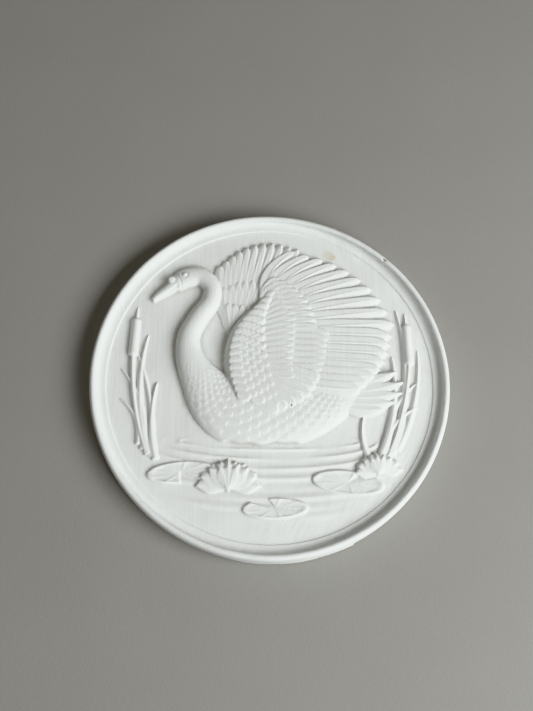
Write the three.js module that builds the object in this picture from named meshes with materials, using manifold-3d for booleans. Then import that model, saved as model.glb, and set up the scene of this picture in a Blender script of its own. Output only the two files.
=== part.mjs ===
// Round relief wall plaque, cast in plaster: a swan among reeds and water lilies
// inside a moulded rim. Millimetres, +Z up, the front faces -Y and the back is at y = 0.
import * as THREE from "three";
import { mergeVertices } from "three/addons/utils/BufferGeometryUtils.js";
import Module from "manifold-3d";

// Disc and rim
const plaqueDiameter = 300;
const fieldThickness = 9.8;
const backEdgeRound = 1.5;
const fieldStepWidth = 1.2;
const fieldStepRise = 0.8;
const coveWidth = 7.4;
const coveRise = 4.9;
const coveBend = 3; // 2 makes the cove a quarter of an ellipse, and more bends it later
const lipWidth = 2.4;
const lipRise = 1.8;
const shoulderWidth = 3;
const shoulderDrop = 4.8;

// Relief: it is drawn for a field of this radius, and follows the real field's size
const drawnFieldRadius = 136;
const reliefDepth = 10;
const drawnReliefDepth = 10;
const flankSlope = 2.4;
const rootDepth = 1.2;

// Fineness of the facets
const discSegments = 72;
const coveSteps = 4;
const shoulderSteps = 3;
const padSides = 12;

const plaqueRadius = plaqueDiameter / 2;
const crestRadius = plaqueRadius - shoulderWidth;
const coveTopRadius = crestRadius - lipWidth;
const coveFootRadius = coveTopRadius - coveWidth;
const fieldRadius = coveFootRadius - fieldStepWidth;
const coveFoot = fieldThickness + fieldStepRise;
const crestHeight = coveFoot + coveRise + lipRise;
const planScale = fieldRadius / drawnFieldRadius;
const depthScale = reliefDepth / drawnReliefDepth;

const wasm = await Module();
wasm.setup();

// A closed geometry as a solid that can be joined
function solidOf(geometry) {
  const bare = geometry.clone();
  bare.deleteAttribute("normal");
  bare.deleteAttribute("uv");
  const merged = mergeVertices(bare, 1e-4);
  return new wasm.Manifold(new wasm.Mesh({
    numProp: 3,
    vertProperties: Float32Array.from(merged.attributes.position.array),
    triVerts: Uint32Array.from(merged.index.array),
  }));
}

function geometryOf(solid) {
  const mesh = solid.getMesh();
  const geometry = new THREE.BufferGeometry();
  geometry.setAttribute("position", new THREE.BufferAttribute(mesh.vertProperties, 3));
  geometry.setIndex(new THREE.BufferAttribute(mesh.triVerts, 1));
  geometry.computeVertexNormals();
  return geometry;
}

// A solid through a row of like rings, each a list of drawn points (u, v, height over the field)
function solidThrough(rings) {
  const sides = rings[0].length;
  const points = rings.flat().map(([u, v, h]) => [
    u * planScale, v * planScale, fieldThickness + h * depthScale]);
  const faces = [];
  for (let i = 0; i + 1 < rings.length; i += 1) {
    for (let j = 0; j < sides; j += 1) {
      const a = i * sides + j;
      const b = i * sides + (j + 1) % sides;
      faces.push([a, b, b + sides], [a, b + sides, a + sides]);
    }
  }
  const last = (rings.length - 1) * sides;
  for (let j = 1; j + 1 < sides; j += 1) {
    faces.push([0, j + 1, j], [last, last + j, last + j + 1]);
  }
  const volume = faces.reduce((sum, [a, b, c]) => {
    const [p, q, r] = [points[a], points[b], points[c]].map((xyz) => new THREE.Vector3(...xyz));
    return sum + p.dot(q.cross(r));
  }, 0);
  const outward = volume > 0 ? faces : faces.map(([a, b, c]) => [a, c, b]);
  const geometry = new THREE.BufferGeometry();
  geometry.setAttribute("position", new THREE.Float32BufferAttribute(points.flat(), 3));
  geometry.setIndex(outward.flat());
  return solidOf(geometry);
}

const mix = (a, b, k) => a + (b - a) * k;

// Catmull-Rom curve through rows of numbers, with a number of steps in each span
function smoothRows(rows, steps) {
  const first = rows[0].map((x, i) => 2 * x - rows[1][i]);
  const end = rows.at(-1).map((x, i) => 2 * x - rows.at(-2)[i]);
  const all = [first, ...rows, end];
  const out = [];
  for (let n = 1; n + 2 < all.length; n += 1) {
    for (let s = 0; s < steps; s += 1) {
      const x = s / steps;
      out.push(all[n].map((b, i) => {
        const [a, c, d] = [all[n - 1][i], all[n + 1][i], all[n + 2][i]];
        return 0.5 * (2 * b + (c - a) * x + (2 * a - 5 * b + 4 * c - d) * x ** 2
          + (3 * b - a - 3 * c + d) * x ** 3);
      }));
    }
  }
  out.push(rows.at(-1));
  return out;
}

// The row at share k of a smooth curve's length
function rowAt(rows, k) {
  const curve = smoothRows(rows, 12);
  const run = [0];
  for (let i = 1; i < curve.length; i += 1) {
    run.push(run[i - 1] + Math.hypot(curve[i][0] - curve[i - 1][0], curve[i][1] - curve[i - 1][1]));
  }
  const goal = k * run.at(-1);
  const i = Math.max(1, run.findIndex((r) => r >= goal - 1e-9));
  const share = (goal - run[i - 1]) / (run[i] - run[i - 1]);
  return curve[i - 1].map((x, n) => mix(x, curve[i][n], share));
}

// Half widths of the kinds of blade at share s of their length
const plume = (full, tipFrom) => (s) => {
  const rise = Math.min(s / 0.25, 1);
  const end = Math.max((s - tipFrom) / (1 - tipFrom), 0);
  return full * (0.55 + 0.45 * rise * rise * (3 - 2 * rise)) * Math.sqrt(Math.max(1 - end * end, 0));
};
const pinion = (full) => (s) => {
  const rise = Math.min(s / 0.4, 1);
  const fall = Math.max((s - 0.45) / 0.55, 0);
  const end = Math.max((s - 0.9) / 0.1, 0);
  const body = (0.5 + 0.5 * rise * rise * (3 - 2 * rise)) * (1 - 0.42 * fall * fall * (3 - 2 * fall));
  return full * body * Math.sqrt(Math.max(1 - end * end, 0));
};
const leaf = (full, fattest) => (s) => {
  const a = Math.min(s / fattest, 1);
  const b = Math.min((1 - s) / (1 - fattest), 1);
  return full * Math.sin(a * Math.PI / 2) ** 0.75 * Math.sin(b * Math.PI / 2) ** 0.9;
};
const reedBlade = (full) => (s) => full * (1 - s) ** 0.65 * (0.75 + 0.25 * Math.min(s / 0.2, 1));

// A point at share s of the arc from root to tip that stands bow to the left of the chord,
// with the direction to its left
function onArc(root, tip, bow, s) {
  const chord = [tip[0] - root[0], tip[1] - root[1]];
  const length = Math.hypot(...chord);
  const left = [-chord[1] / length, chord[0] / length];
  if (Math.abs(bow) < 0.001 * length) {
    return { at: [mix(root[0], tip[0], s), mix(root[1], tip[1], s)], left };
  }
  const radius = (length ** 2 / 4 + bow ** 2) / (2 * bow);
  const centre = [0, 1].map((i) => (root[i] + tip[i]) / 2 + left[i] * (bow - radius));
  const half = Math.asin(Math.min(length / 2 / Math.abs(radius), 1)) * Math.sign(bow);
  const turn = mix(half, -half, s);
  const out = [0, 1].map((i) => left[i] * Math.cos(turn) - chord[i] / length * Math.sin(turn));
  return { at: [0, 1].map((i) => centre[i] + radius * out[i]), left: out };
}

// Feather, petal or leaf: edges and a crowned middle, with flanks that widen to the field.
// A ridge has the middle line only.
function blade({
  root, tip, bow = 0, width, lift, tilt = 0, crown = 0.5, ridge = false, stations = [0, 0.4, 0.85, 1] }) {
  const least = 0.35;
  const bluntTip = 0.97;
  const rings = stations.map((s) => {
    const { at, left } = onArc(root, tip, bow, s);
    const w = Math.max(width(Math.min(s, bluntTip)), least);
    const h = mix(lift[0], lift[1], s);
    const middle = [[0, h + crown]];
    const across = ridge ? middle : [[-w, h - tilt], ...middle, [w, h + tilt]];
    const foot = (side) => side * (w + (h + rootDepth) / flankSlope);
    const outline = [[foot(-1), -rootDepth], ...across, [foot(1), -rootDepth]];
    return outline.map(([t, height]) => [at[0] + left[0] * t, at[1] + left[1] * t, height]);
  });
  return solidThrough(rings);
}

// Round, flattened body along a curve of rows (u, v, half width, height), with round ends
function tube(rows, steps = 2, sides = 6) {
  const curve = smoothRows(rows, steps);
  const capShares = [0.95, 0.65];
  const along = (i) => {
    const a = curve[Math.max(i - 1, 0)];
    const b = curve[Math.min(i + 1, curve.length - 1)];
    const d = [b[0] - a[0], b[1] - a[1]];
    return d.map((x) => x / Math.hypot(...d));
  };
  const ring = ([u, v, r, h], [du, dv], past) => {
    const w = r * Math.sqrt(1 - past ** 2);
    const outline = [[-w, -rootDepth]];
    for (let n = 0; n <= sides; n += 1) {
      const turn = Math.PI * (1 - n / sides);
      outline.push([w * Math.cos(turn), h * Math.sin(turn) * Math.sqrt(1 - past ** 2)]);
    }
    outline.push([w, -rootDepth]);
    return (side) => outline.map(([t, height]) => [
      u + du * past * r * side - dv * t, v + dv * past * r * side + du * t, height]);
  };
  const rings = [
    ...capShares.map((past) => ring(curve[0], along(0), past)(-1)),
    ...curve.map((row, i) => ring(row, along(i), 0)(1)),
    ...capShares.toReversed().map((past) => ring(curve.at(-1), along(curve.length - 1), past)(1)),
  ];
  return solidThrough(rings);
}

// A row of feathers from a curve of roots to a curve of tips
function fan({ roots, tips, count, bow, width, tilt, crown, stations }) {
  return Array.from({ length: count }, (_, i) => {
    const k = i / (count - 1);
    const root = rowAt(roots, k);
    const tip = rowAt(tips, k);
    const arch = mix(bow[0], bow[1], k);
    return blade({
      root, tip, bow: arch, width: width(k), lift: [root[2], tip[2]], tilt, crown, stations });
  });
}

// Disc with its field, step, cove, lip and rounded shoulder, turned about its axis
function disc() {
  const quarter = (steps, place) => Array.from(
    { length: steps + 1 }, (_, i) => place(i / steps * Math.PI / 2));
  const profile = [
    [0, 0],
    [plaqueRadius - backEdgeRound, 0],
    [plaqueRadius - backEdgeRound * 0.3, backEdgeRound * 0.3],
    [plaqueRadius, backEdgeRound],
    ...quarter(shoulderSteps, (t) => [
      crestRadius + shoulderWidth * Math.cos(t), crestHeight - shoulderDrop + shoulderDrop * Math.sin(t)]),
    [coveTopRadius + lipWidth * 0.3, coveFoot + coveRise + lipRise * 0.7],
    ...quarter(coveSteps, (t) => [
      coveFootRadius + coveWidth * Math.max(Math.cos(t), 0) ** (2 / coveBend),
      coveFoot + coveRise * (1 - Math.sin(t) ** (2 / coveBend))]),
    [fieldRadius, fieldThickness],
    [0, fieldThickness],
  ];
  const geometry = new THREE.LatheGeometry(profile.map(([r, h]) => new THREE.Vector2(r, h)), discSegments);
  geometry.rotateX(Math.PI / 2);
  return solidOf(geometry);
}

// Rings of ripples in front of the hull, as low wavelets
function ripples() {
  const centre = [0, -53];
  const firstRing = [74, 7];
  const ringSpacing = [14, 8];
  const ringCount = 5;
  const halfArc = 0.32;
  const farthest = 124;
  const out = [];
  for (let n = 0; n < ringCount; n += 1) {
    const [a, b] = [0, 1].map((i) => firstRing[i] + ringSpacing[i] * n);
    const turns = [-2.5 + 0.1 * n, -1.62 + 0.04 * n, -0.72 - 0.1 * n];
    for (const turn of turns) {
      const ends = [turn - halfArc, turn + halfArc].map((t) => [
        centre[0] + a * Math.cos(t), centre[1] + b * Math.sin(t)]);
      if (ends.every(([u, v]) => Math.hypot(u, v) < farthest)) {
        const middle = [centre[0] + a * Math.cos(turn), centre[1] + b * Math.sin(turn)];
        const bow = -Math.hypot(middle[0] - (ends[0][0] + ends[1][0]) / 2,
          middle[1] - (ends[0][1] + ends[1][1]) / 2);
        out.push(blade({
          root: ends[0], tip: ends[1], bow, width: leaf(0.9, 0.5), lift: [0.5, 0.5], crown: 0.4, ridge: true,
          stations: [0, 0.5, 1] }));
      }
    }
  }
  return out;
}

// Reeds: root, tip, bow, half width and height of each
function reeds() {
  const right = [
    [[97, -66], [124, -2], 10, 3.2, 1.6], [[104, -60], [125, 26], -6, 3, 1.4],
    [[99, -64], [108, 62], -10, 3.6, 2], [[88, -70], [103, 20], -7, 3.4, 2.5],
    [[92, -72], [122, -24], 9, 3, 2.3], [[84, -72], [78, -30], 5, 2.8, 1.8],
  ];
  const left = [
    [[-104, -60], [-124, 8], -8, 3, 1.6], [[-99, -64], [-103, 38], 7, 3.4, 2],
    [[-108, -56], [-124, -18], -6, 2.6, 1.5], [[-93, -68], [-94, -4], 4, 3, 2.3],
    [[-97, -66], [-114, 28], -6, 3, 1.3],
  ];
  return [...right, ...left].map(([root, tip, bow, w, h]) => blade({
    root, tip, bow, width: reedBlade(w), lift: [h, h * 0.8], crown: 0.6, ridge: true,
    stations: [0, 0.35, 0.7, 1] }));
}

// Bulrushes: a stem, the round head and the spike over it
function bulrushes() {
  const plants = [
    { root: [95, -68], foot: [117, 16], top: [116, 46], bow: -4, r: 4.4 },
    { root: [-101, -62], foot: [-115, 22], top: [-113.5, 50], bow: 4, r: 4.2 },
  ];
  const spikeLength = 13;
  return plants.flatMap(({ root, foot, top, bow, r }) => {
    const length = Math.hypot(top[0] - foot[0], top[1] - foot[1]);
    const spike = [0, 1].map((i) => top[i] + (top[i] - foot[i]) / length * spikeLength);
    return [
      blade({ root, tip: foot, bow, width: () => 1.2, lift: [2.4, 3], crown: 0.4, ridge: true,
        stations: [0, 0.5, 1] }),
      tube([[...foot, r, 4.8], [...top, r * 0.94, 4.6]], 1, 5),
      blade({ root: top, tip: spike, width: (s) => 1.3 - 0.8 * s, lift: [3.4, 1.6], crown: 0.4, ridge: true,
        stations: [0, 1] }),
    ];
  });
}

// Lily pads: a flat oval with a raised edge and a notch
function lilyPads() {
  const pads = [
    { at: [-72, -79], a: 27, b: 8.5, turn: 5, notch: 285 },
    { at: [63, -87], a: 29, b: 9.5, turn: -6, notch: 55 },
    { at: [4, -108], a: 26, b: 8, turn: 2, notch: 120 },
  ];
  return pads.map(({ at, a, b, turn, notch }) => {
    const t = THREE.MathUtils.degToRad(turn);
    const place = (angle, share, height, out = 0) => {
      const u = (a * share + out) * Math.cos(angle);
      const v = (b * share + out) * Math.sin(angle);
      return [at[0] + u * Math.cos(t) - v * Math.sin(t), at[1] + u * Math.sin(t) + v * Math.cos(t), height];
    };
    const cut = THREE.MathUtils.degToRad(notch);
    const halfNotch = 0.16;
    const rings = Array.from({ length: padSides + 1 }, (_, i) => {
      const angle = cut + halfNotch + (2 * Math.PI - 2 * halfNotch) * i / padSides;
      return [
        place(cut, 0.06, -rootDepth), place(cut, 0.06, 1), place(angle, 0.85, 1.6), place(angle, 0.96, 2.2),
        place(angle, 1, 1.7), place(angle, 1, -rootDepth, 1),
      ];
    });
    return solidThrough(rings);
  });
}

// Water lily blossom: three rows of petals, the front ones higher
function blossom(at, size, lean) {
  const rows = [
    { count: 7, spread: 172, reach: 1, lift: 2.2, share: 0.24 },
    { count: 5, spread: 104, reach: 0.92, lift: 3.6, share: 0.25 },
    { count: 3, spread: 42, reach: 0.82, lift: 5, share: 0.23 },
  ];
  return rows.flatMap(({ count, spread, reach, lift, share }) => Array.from({ length: count }, (_, i) => {
    const angle = THREE.MathUtils.degToRad(90 + lean + spread * (i / (count - 1) - 0.5));
    const length = size * reach * (1 - 0.12 * Math.abs(Math.cos(angle)));
    const root = [at[0] + 0.08 * size * Math.cos(angle), at[1]];
    const tip = [root[0] + length * Math.cos(angle), root[1] + length * (0.86 * Math.sin(angle) + 0.05)];
    return blade({
      root, tip, bow: 0.1 * length * Math.cos(angle), width: leaf(size * share, 0.55),
      lift: [lift * 0.75, lift], crown: 0.8, stations: [0, 0.45, 0.8, 1] });
  }));
}

// Curve of places a share of the way from roots to tips, and raised by lift
function partWay(roots, tips, share, lift) {
  return roots.map((root, n) => root.map((x, i) => mix(x, tips[n][i], share) + (i === 2 ? lift : 0)));
}

// A feather has stations only where it shows: the coverts lie over the roots of the flight feathers
const flightStations = [0.35, 0.65, 0.9, 1];
const trailingStations = [0.45, 0.86, 1];
const covertStations = [0.1, 0.8, 1];

// The far wing, low behind the near one
function farWing() {
  const roots = [[2, 10, 1.2], [-14, 16, 1.3], [-26, 26, 1.4], [-32, 40, 1.4]];
  const tips = [[24, 119, 2.6], [2, 124, 2.8], [-22, 119, 2.6], [-44, 102, 2.4]];
  return [
    ...fan({
      roots, tips, count: 11, bow: [9, 3], width: () => pinion(6.2), tilt: -0.6, crown: 0.4,
      stations: flightStations }),
    ...fan({
      roots, tips: partWay(roots, tips, 0.66, 0.9), count: 8, bow: [6, 2], width: () => plume(6, 0.78),
      tilt: -0.6, crown: 0.4, stations: covertStations }),
  ];
}

// Pointed tail feathers, the upper ones in front
function tail() {
  const tips = [[94, -26], [103, -20], [109, -12], [110, -3], [105, 6]];
  return tips.map((tip, i) => blade({
    root: [58 - 0.5 * i, -22 + 3.5 * i], tip, bow: -2.5, width: (s) => leaf(5.6, 0.5)(s * 0.9 + 0.1),
    lift: [3 + 0.25 * i, 3.2 + 0.3 * i], tilt: 0.5, crown: 0.5 }));
}

// Hull, neck, head and beak; the water line trims the hull
function bird() {
  const hull = tube([
    [-44, -20, 25, 8.2], [-32, -25, 31, 8.8], [-8, -27, 32, 8.5], [20, -26, 29, 8], [44, -20, 22, 6.8],
    [64, -12, 13, 5.2], [78, -6, 6, 3.4],
  ]);
  const neck = tube([
    [-48, -20, 21, 8.2], [-57, -2, 16.5, 8.9], [-67, 17, 12.2, 8.8], [-69, 36, 9.8, 8.4],
    [-61, 54, 8.8, 8], [-51, 69, 8.4, 7.8], [-50, 82, 8.2, 7.6], [-59, 92, 8.4, 7.4],
    [-71, 91, 9.2, 7.6], [-79, 86, 7.6, 7],
  ]);
  const beak = tube(
    [[-78, 87, 6.4, 7], [-87, 80, 4.9, 6.2], [-95, 74, 3.7, 5.2], [-99, 70.5, 2.6, 4.2]], 1, 5);
  const waterLine = -54;
  const below = new THREE.BoxGeometry(2 * fieldRadius, 60 * planScale, 4 * reliefDepth);
  below.translate(0, (waterLine - 30) * planScale, fieldThickness);
  const water = solidOf(below);
  return [hull.subtract(water), neck.subtract(water), beak];
}

// The near wing: flight feathers spread from the wrist and the forearm, the coverts over them, and
// the rounded arm with its small feathers along the front edge
function nearWing() {
  const hand = [[-4, 66, 4.6], [-6, 58, 5.2], [-9, 49, 5.8], [-13, 40, 6.4]];
  const handTips = [[22, 115, 2.8], [59, 102, 3.2], [88, 79, 3.8], [104, 49, 4.4]];
  const forearm = [[-14, 38, 6.6], [-15, 27, 7.2], [-12, 15, 7.7], [-4, 3, 8]];
  const forearmTips = [[101, 38, 4.8], [97, 21, 5.4], [89, 5, 6], [74, -10, 6.6]];
  const whole = [hand[0], hand[2], forearm[0], forearm[2], forearm[3]];
  const wholeTips = [handTips[0], handTips[2], forearmTips[0], forearmTips[2], forearmTips[3]];
  const rows = [
    {
      roots: hand, tips: handTips, count: 10, bow: [9, 1], width: () => pinion(6.6),
      stations: flightStations },
    {
      roots: forearm, tips: forearmTips, count: 8, bow: [1, -4], width: () => plume(6.2, 0.84),
      stations: trailingStations },
    {
      roots: hand, tips: partWay(hand, handTips, 0.45, 1.2), count: 10, bow: [5, 1],
      width: () => plume(4.6, 0.8), stations: covertStations },
    {
      roots: forearm, tips: partWay(forearm, forearmTips, 0.55, 0.8), count: 9, bow: [1, -3],
      width: () => plume(5.4, 0.82), stations: covertStations },
    {
      roots: whole, tips: partWay(whole, wholeTips, 0.3, 1.4), count: 9, bow: [3, -1],
      width: (k) => plume(7 + 0.6 * k, 0.76), stations: covertStations },
  ];
  const arm = tube([
    [-12, -16, 20, 9.3], [-18.5, 5, 19, 9.2], [-21, 27, 17, 8.6], [-18, 45, 13.5, 7.9], [-10, 59, 9.5, 6.9],
    [-2, 68, 5, 5.4],
  ]);
  return [...rows.flatMap((row) => fan({ ...row, tilt: 0.75, crown: 0.45 })), arm];
}

const plaster = new THREE.MeshStandardMaterial({ color: 0xdfe0dc, roughness: 0.82, metalness: 0 });

const carving = [
  ripples(), reeds(), bulrushes(), lilyPads(), blossom([-34, -93], 27, 0), blossom([88, -80], 20, 6),
  farWing(), tail(), bird(), nearWing(),
].flat();

const plaque = new THREE.Mesh(geometryOf(wasm.Manifold.union([disc(), ...carving])), plaster);
plaque.name = "plaque";
plaque.rotation.x = Math.PI / 2;

const group = new THREE.Group();
group.add(plaque);

export default group;
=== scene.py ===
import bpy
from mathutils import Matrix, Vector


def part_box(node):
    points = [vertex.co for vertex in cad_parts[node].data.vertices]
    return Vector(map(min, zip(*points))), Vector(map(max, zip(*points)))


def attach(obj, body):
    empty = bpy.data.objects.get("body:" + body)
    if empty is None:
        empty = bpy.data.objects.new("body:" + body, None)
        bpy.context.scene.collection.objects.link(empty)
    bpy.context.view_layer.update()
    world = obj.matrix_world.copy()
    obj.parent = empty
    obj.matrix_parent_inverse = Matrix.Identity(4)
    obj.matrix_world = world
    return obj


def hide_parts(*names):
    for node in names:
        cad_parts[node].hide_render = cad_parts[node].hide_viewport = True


bl_info = {
    "name": "Relief Wall Plaque",
    "version": (1, 0, 0),
    "blender": (4, 5, 0),
    "location": "3D View > Sidebar > Plaque",
    "description": "A round plaster plaque with a swan in relief, and the pale backdrop it is shown on",
    "category": "Add Mesh",
}

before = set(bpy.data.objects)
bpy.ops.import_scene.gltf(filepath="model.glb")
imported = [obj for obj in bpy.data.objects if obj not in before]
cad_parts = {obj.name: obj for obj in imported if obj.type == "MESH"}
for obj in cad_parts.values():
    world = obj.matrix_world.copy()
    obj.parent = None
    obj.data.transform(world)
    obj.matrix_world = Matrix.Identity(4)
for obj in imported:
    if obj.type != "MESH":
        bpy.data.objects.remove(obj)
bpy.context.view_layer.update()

import math

import bpy
import numpy as np
from bpy.props import FloatProperty, FloatVectorProperty, IntProperty, PointerProperty
from mathutils import Matrix, Vector

MM = 0.001
PLAQUE_LOW, PLAQUE_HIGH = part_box("plaque")
DRAWN_FIELD_RADIUS = 136.0  # the carving is drawn on a field of this radius, in millimetres
DRAWN_DEPTH = 10  # and this deep
BARE_EDGE = 1.5  # nothing is carved closer than this to the field's edge
SEED = 11


# Curves and outlines, in millimetres. u is to the right and v is up, as the plaque hangs.


def smooth_rows(rows, steps):
    """Catmull-Rom curve through rows of numbers, with a number of steps in each span."""
    p = np.array(rows, float)
    p = np.vstack([2 * p[0] - p[1], p, 2 * p[-1] - p[-2]])
    out = []
    for a, b, c, d in zip(p, p[1:], p[2:], p[3:]):
        for x in np.arange(steps) / steps:
            out.append(0.5 * (2 * b + (c - a) * x + (2 * a - 5 * b + 4 * c - d) * x**2
                              + (3 * b - a - 3 * c + d) * x**3))
    out.append(p[-2])
    return np.array(out)


def row_at(rows, share):
    """The row at a share of a smooth curve's length."""
    curve = smooth_rows(rows, 12)
    run = np.concatenate([[0], np.cumsum(np.hypot(*np.diff(curve[:, :2], axis=0).T))])
    return np.array([np.interp(share * run[-1], run, column) for column in curve.T])


def plume(full, tip_from):
    """Half width of a feather: a narrow quill, an even vane and a rounded tip."""
    def width(s):
        rise = np.clip(s / 0.25, 0, 1)
        end = np.clip((s - tip_from) / (1 - tip_from), 0, 1)
        return full * (0.55 + 0.45 * rise * rise * (3 - 2 * rise)) * np.sqrt(np.maximum(1 - end**2, 0))
    return width


def pinion(full):
    """Half width of a long flight feather: fullest near its middle, with a narrow round tip."""
    def width(s):
        rise = np.clip(s / 0.4, 0, 1)
        fall = np.clip((s - 0.45) / 0.55, 0, 1)
        end = np.clip((s - 0.9) / 0.1, 0, 1)
        body = (0.5 + 0.5 * rise * rise * (3 - 2 * rise)) * (1 - 0.42 * fall * fall * (3 - 2 * fall))
        return full * body * np.sqrt(np.maximum(1 - end**2, 0))
    return width


def leaf(full, fattest, start=0.0):
    """Half width of a leaf or petal, pointed at both ends; start cuts off the first share of it."""
    def width(s):
        s = start + (1 - start) * s
        a = np.clip(s / fattest, 0, 1)
        b = np.clip((1 - s) / (1 - fattest), 0, 1)
        return full * np.sin(a * np.pi / 2) ** 0.75 * np.sin(b * np.pi / 2) ** 0.9
    return width


def reed_blade(full):
    """Half width of a reed's blade, which tapers all the way."""
    def width(s):
        return full * np.clip(1 - s, 0, 1) ** 0.65 * (0.75 + 0.25 * np.clip(s / 0.2, 0, 1))
    return width


def even(full):
    """The same half width all along."""
    return lambda s: full + 0 * s


class Arc:
    """Circular arc from root to tip that stands bow to the left of its chord."""

    def __init__(self, root, tip, bow):
        root, tip = np.array(root[:2], float), np.array(tip[:2], float)
        chord = tip - root
        span = np.hypot(*chord)
        self.root, self.along = root, chord / span
        self.left = np.array([-self.along[1], self.along[0]])
        self.straight = abs(bow) < 0.001 * span
        self.length = span
        if not self.straight:
            self.side = 1 if bow > 0 else -1
            self.radius = (span**2 / 4 + bow**2) / (2 * abs(bow))
            self.centre = (root + tip) / 2 + self.left * self.side * (abs(bow) - self.radius)
            self.start = np.arctan2(*(root - self.centre)[::-1])
            self.length = self.radius * 2 * np.arcsin(min(1.0, span / 2 / self.radius))

    def along_across(self, u, v):
        """Distance along the arc and to its left."""
        if self.straight:
            x, y = u - self.root[0], v - self.root[1]
            return x * self.along[0] + y * self.along[1], x * self.left[0] + y * self.left[1]
        x, y = u - self.centre[0], v - self.centre[1]
        turn = (self.start - np.arctan2(y, x)) * self.side
        turn = (turn + np.pi) % (2 * np.pi) - np.pi
        return turn * self.radius, self.side * (np.hypot(x, y) - self.radius)


class Carving:
    """Heights over the bare field, in millimetres, on a square grid of points."""

    FLANK = 2.4  # how steeply an edge falls to what lies under it

    def __init__(self, half, step):
        self.half, self.step = half, step
        self.axis = np.arange(-half, half + step / 2, step)
        self.u, self.v = np.meshgrid(self.axis, self.axis)
        self.heights = np.zeros_like(self.u)

    def window(self, low, high):
        """Slices of the grid between two corners."""
        c0, r0 = np.searchsorted(self.axis, low[:2])
        c1, r1 = np.searchsorted(self.axis, high[:2])
        return slice(max(r0 - 1, 0), r1 + 1), slice(max(c0 - 1, 0), c1 + 1)

    def lay(self, window, heights):
        """Lays a shape on what is there: the higher of the two stays."""
        self.heights[window] = np.maximum(self.heights[window], heights)

    def blade(self, root, tip, width, lift, bow=0.0, tilt=0.0, crown=0.5, rib=0.0, rib_width=0.7,
              barbs=0.0, barb_pitch=3.3):
        """Feather, petal or leaf with a crowned middle, a raised rib and slanting barbs."""
        arc = Arc(root, tip, bow)
        reach = float(np.max(width(np.linspace(0, 1, 41)))) + 5 + abs(bow)
        window = self.window(np.minimum(root[:2], tip[:2]) - reach, np.maximum(root[:2], tip[:2]) + reach)
        s, t = arc.along_across(self.u[window], self.v[window])
        share = np.clip(s / arc.length, 0, 1)
        w = np.maximum(width(share), 1e-3)
        past = np.maximum(s - arc.length, 0) + np.maximum(-s, 0)
        outside = np.hypot(np.maximum(np.abs(t) - w, 0), past)
        q = np.clip(t / w, -1, 1)
        h = lift[0] + (lift[1] - lift[0]) * share + tilt * q + crown * (1 - q * q)
        if rib:
            h = h + rib * np.exp(-((t / rib_width) ** 2)) * np.clip((1 - share) * 6, 0, 1)
        if barbs:
            wave = np.sin(2 * np.pi * (s - 1.1 * np.abs(t)) / barb_pitch)
            h = h + barbs * wave * np.clip(np.abs(t) / 0.8 - 0.4, 0, 1) * (np.abs(q) < 1)
        self.lay(window, h - self.FLANK * outside)

    def fan(self, roots, tips, count, bow, width, **kind):
        """A row of feathers from a curve of roots to a curve of tips."""
        for k in np.linspace(0, 1, count):
            root, tip = row_at(roots, k), row_at(tips, k)
            self.blade(root, tip, width(k), (root[2], tip[2]), bow=bow[0] + (bow[1] - bow[0]) * k, **kind)

    def flow(self, curve, window):
        """Nearest place on a curve of rows (u, v, half width, height), for each point: the distance
        as a share of the half width, the half width, the height, the distance to the left and the
        run along the curve counted in half widths."""
        u, v = self.u[window], self.v[window]
        share = np.full(u.shape, 1e9)
        radius, height, side, run = (np.zeros_like(u) for _ in range(4))
        so_far = 0.0
        for a, b in zip(curve, curve[1:]):
            d = b[:2] - a[:2]
            k = np.clip(((u - a[0]) * d[0] + (v - a[1]) * d[1]) / (d @ d), 0, 1)
            x, y = u - a[0] - k * d[0], v - a[1] - k * d[1]
            r = a[2] + k * (b[2] - a[2])
            q = np.hypot(x, y) / r
            here = q < share
            piece = np.hypot(*d) / ((a[2] + b[2]) / 2)
            share = np.where(here, q, share)
            radius = np.where(here, r, radius)
            height = np.where(here, a[3] + k * (b[3] - a[3]), height)
            side = np.where(here, np.sign(d[0] * y - d[1] * x) * q * r, side)
            run = np.where(here, so_far + k * piece, run)
            so_far += piece
        return share, radius, height, side, run

    def around(self, curve, margin=6.0):
        """Window round a curve of rows (u, v, half width, height)."""
        widest = float(curve[:, 2].max()) + margin
        return self.window(curve[:, :2].min(0) - widest, curve[:, :2].max(0) + widest)

    def round_form(self, share, radius, height, roundness=2.2):
        """Height of a round, flattened form from what flow gives."""
        inside = height * np.sqrt(np.maximum(1 - np.clip(share, 0, 1) ** roundness, 0))
        return inside - self.FLANK * np.maximum(share - 1, 0) * radius

    def tube(self, rows, steps=6, roundness=2.0):
        """Round, flattened form along a curve."""
        curve = smooth_rows(rows, steps)
        window = self.around(curve)
        share, radius, height, _, _ = self.flow(curve, window)
        self.lay(window, self.round_form(share, radius, height, roundness))

    def blurred(self, heights, size):
        """Heights with detail finer than size, in millimetres, smoothed away."""
        sigma = size / self.step
        reach = int(math.ceil(3 * sigma))
        kernel = np.exp(-0.5 * (np.arange(-reach, reach + 1) / sigma) ** 2)
        kernel /= kernel.sum()
        out = heights
        for axis in (0, 1):
            padded = np.pad(out, [(reach, reach) if a == axis else (0, 0) for a in (0, 1)], mode="edge")
            length = out.shape[axis]
            out = sum(w * np.take(padded, range(i, i + length), axis) for i, w in enumerate(kernel))
        return out

    def sample(self, heights, u, v):
        """Heights at any places, between the grid's points."""
        x = np.clip((u + self.half) / self.step, 0, len(self.axis) - 1.001)
        y = np.clip((v + self.half) / self.step, 0, len(self.axis) - 1.001)
        i, j = x.astype(int), y.astype(int)
        a, b = x - i, y - j
        top = heights[j + 1, i] * (1 - a) + heights[j + 1, i + 1] * a
        bottom = heights[j, i] * (1 - a) + heights[j, i + 1] * a
        return bottom * (1 - b) + top * b


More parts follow.
